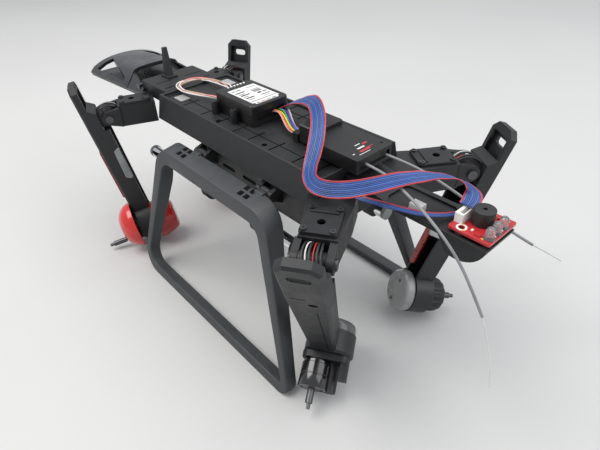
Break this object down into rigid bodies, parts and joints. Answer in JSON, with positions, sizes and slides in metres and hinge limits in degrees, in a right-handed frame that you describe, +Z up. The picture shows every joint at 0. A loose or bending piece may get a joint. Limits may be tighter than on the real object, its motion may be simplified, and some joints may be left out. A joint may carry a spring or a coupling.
{
  "type": "folding-arm robot airframe",
  "caption": "Long ribbed robot chassis with folding jointed limbs ending in geared motor pods, loop-shaped skids, a tail hood and top-mounted control electronics.",
  "frame": {"origin": "on the floor under the middle of the body's bounding box", "axes": "+X towards the sensor end, +Y to the body's left, +Z up"},
  "size_m": [0.4613, 0.2079, 0.1851],
  "materials": {
    "black_shell": "satin",
    "loop_grey": "satin",
    "control_case": "matte",
    "steel_trim": "satin",
    "chrome_tube": "polished",
    "cap_grey": "matte",
    "red_cover": "gloss",
    "grey_lens": "translucent",
    "red_light": "translucent",
    "white_plastic": "satin",
    "red_board": "satin",
    "green_board": "satin",
    "buzzer_black": "satin",
    "clear_led": "clear",
    "ribbon": "satin",
    "lead_wire": "satin",
    "tape": "translucent",
    "battery": "satin"
  },
  "bodies": {
    "root": {"antenna_front": "lead_wire", "antenna_side": "lead_wire", "battery_pack": "battery", "box_posts": "black_shell", "buzzer": "buzzer_black", "chassis_tray": "black_shell", "control_box": "control_case", "control_label": "white_plastic", "hinge_pins": "steel_trim", "keel_box": "black_shell", "lead_plug": "control_case", "leds": "clear_led", "main_board": "green_board", "plate_screws": "steel_trim", "rail_caps": "cap_grey", "rail_clamps": "black_shell", "rails": "chrome_tube", "rainbow_wires": "ribbon", "rear_leads": "lead_wire", "receiver": "control_case", "ribbon_cable": "ribbon", "root_block_lf": "black_shell", "root_block_lr": "black_shell", "root_block_rf": "black_shell", "root_block_rr": "black_shell", "root_plates": "black_shell", "sensor_board": "red_board", "sensor_bracket": "black_shell", "side_ribbon": "ribbon", "skid_mounts": "black_shell", "tail_hood": "black_shell", "tail_post": "black_shell", "tape_pieces": "tape", "white_sockets": "white_plastic"},
    "arm_rf": {"arm_shell_rf": "black_shell", "arm_light_rf": "red_light", "pod_lens_rf": "grey_lens", "motor_rf": "steel_trim", "gear_case_rf": "black_shell"},
    "arm_lf": {"arm_shell_lf": "black_shell", "arm_light_lf": "red_light", "pod_lens_lf": "grey_lens", "motor_lf": "steel_trim", "motor_hood_lf": "black_shell"},
    "arm_rr": {"arm_shell_rr": "black_shell", "arm_light_rr": "red_light", "pod_lens_rr": "red_cover", "motor_rr": "steel_trim", "motor_hood_rr": "red_cover"},
    "arm_lr": {"arm_shell_lr": "black_shell", "arm_light_lr": "red_light", "pod_lens_lr": "red_cover", "motor_lr": "steel_trim", "motor_hood_lr": "red_cover"},
    "shaft_rf": {"output_shaft_rf": "steel_trim"},
    "shaft_lf": {"output_shaft_lf": "steel_trim"},
    "shaft_rr": {"output_shaft_rr": "steel_trim"},
    "shaft_lr": {"output_shaft_lr": "steel_trim"},
    "skid_r": {"skid_loop_r": "loop_grey"},
    "skid_l": {"skid_loop_l": "loop_grey"}
  },
  "joints": [
    {"name": "arm_fold_rf", "type": "hinge", "parent": "root", "child": "arm_rf", "pos_m": [0.15248, -0.07315, 0.1395], "axis": [-0.8387, -0.5446, 0], "range_deg": [0, 114]},
    {"name": "arm_fold_lf", "type": "hinge", "parent": "root", "child": "arm_lf", "pos_m": [0.15248, 0.07315, 0.1395], "axis": [0.8387, -0.5446, 0], "range_deg": [-6, 108]},
    {"name": "arm_fold_rr", "type": "hinge", "parent": "root", "child": "arm_rr", "pos_m": [-0.11968, -0.06644, 0.1395], "axis": [-0.9336, 0.3584, 0], "range_deg": [-14, 100]},
    {"name": "arm_fold_lr", "type": "hinge", "parent": "root", "child": "arm_lr", "pos_m": [-0.11968, 0.06644, 0.1395], "axis": [0.9336, 0.3584, 0], "range_deg": [-12, 102]},
    {"name": "shaft_spin_rf", "type": "hinge", "parent": "arm_rf", "child": "shaft_rf", "pos_m": [0.13858, -0.05909, 0.02224], "axis": [0.4976, -0.7662, -0.4067], "continuous": true},
    {"name": "shaft_spin_lf", "type": "hinge", "parent": "arm_lf", "child": "shaft_lf", "pos_m": [0.15068, 0.06486, 0.01801], "axis": [0.518, 0.7976, -0.309], "continuous": true},
    {"name": "shaft_spin_rr", "type": "hinge", "parent": "arm_rr", "child": "shaft_rr", "pos_m": [-0.11403, -0.07682, 0.01021], "axis": [-0.3529, -0.9194, -0.1736], "continuous": true},
    {"name": "shaft_spin_lr", "type": "hinge", "parent": "arm_lr", "child": "shaft_lr", "pos_m": [-0.11241, 0.0726, 0.01002], "axis": [-0.3505, 0.9132, -0.2079], "continuous": true},
    {"name": "skid_fold_r", "type": "hinge", "parent": "root", "child": "skid_r", "pos_m": [0.0245, -0.041, 0.1322], "axis": [-1, 0, 0], "range_deg": [0, 70]},
    {"name": "skid_fold_l", "type": "hinge", "parent": "root", "child": "skid_l", "pos_m": [0.0245, 0.041, 0.1322], "axis": [1, 0, 0], "range_deg": [0, 70]}
  ]
}
